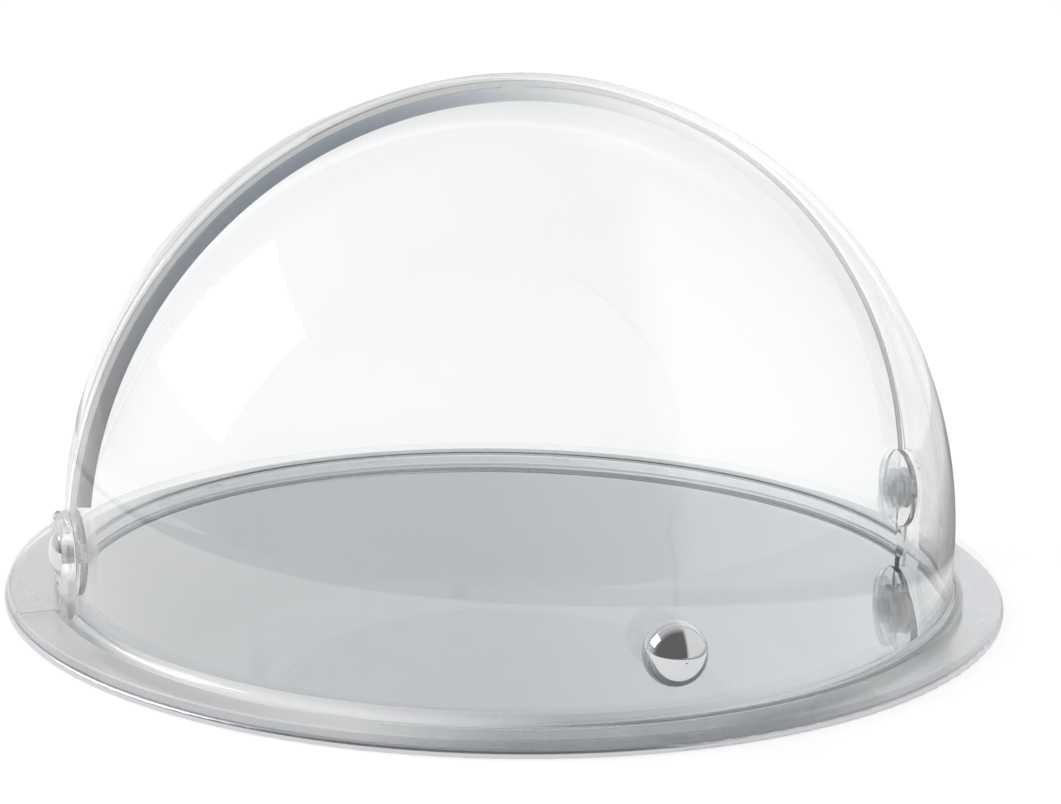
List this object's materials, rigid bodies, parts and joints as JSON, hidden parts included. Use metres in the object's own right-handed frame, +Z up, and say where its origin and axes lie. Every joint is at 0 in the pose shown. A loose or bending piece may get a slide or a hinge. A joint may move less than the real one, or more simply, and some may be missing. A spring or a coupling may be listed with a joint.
{
  "type": "buffet food cover dome",
  "caption": "Clear round roll-top food cover on a polished steel tray: a fixed rear quarter dome and a front lid with a chrome ball knob that rolls back over it on side pivots.",
  "frame": {"origin": "centre of the tray's underside, on the surface it stands on", "axes": "+Z up, +X along the pivot axis to the viewer's right, -Y towards the knob and the front"},
  "size_m": [0.4232, 0.4258, 0.2204],
  "materials": {
    "polished_steel": "mirror polished stainless steel",
    "clear_plastic": "clear, polished",
    "clear_band": "clear with a grey-blue edge tint, polished",
    "clear_silicone": "clear, soft, slightly matt",
    "chrome": "bright chrome plate",
    "screw_steel": "plain stainless steel"
  },
  "bodies": {
    "tray": {"tray": "polished_steel"},
    "cover": {"rear_cover": "clear_plastic", "rear_rim_band": "clear_band", "rear_bumpers": "clear_silicone", "left_pivot_cap": "chrome", "left_pivot_screw": "clear_plastic", "left_pivot_washer": "clear_plastic", "left_pivot_spacer": "clear_plastic", "left_pivot_plate": "clear_plastic", "left_pivot_nut": "clear_plastic", "right_pivot_cap": "chrome", "right_pivot_screw": "clear_plastic", "right_pivot_washer": "clear_plastic", "right_pivot_spacer": "clear_plastic", "right_pivot_plate": "clear_plastic", "right_pivot_nut": "clear_plastic"},
    "lid": {"rolling_lid": "clear_plastic", "lid_bumpers": "clear_silicone", "knob": "chrome", "knob_collar": "chrome", "knob_screw": "screw_steel", "knob_washer": "clear_silicone", "left_pivot_bush": "clear_plastic", "right_pivot_bush": "clear_plastic"}
  },
  "joints": [
    {"name": "cover_lift", "type": "slide", "parent": "tray", "child": "cover", "axis": [0, 0, 1], "range_m": [0, 0.25]},
    {"name": "lid_roll", "type": "hinge", "parent": "cover", "child": "lid", "pos_m": [0, 0, 0.0304], "axis": [-1, 0, 0], "range_deg": [0, 84]}
  ]
}
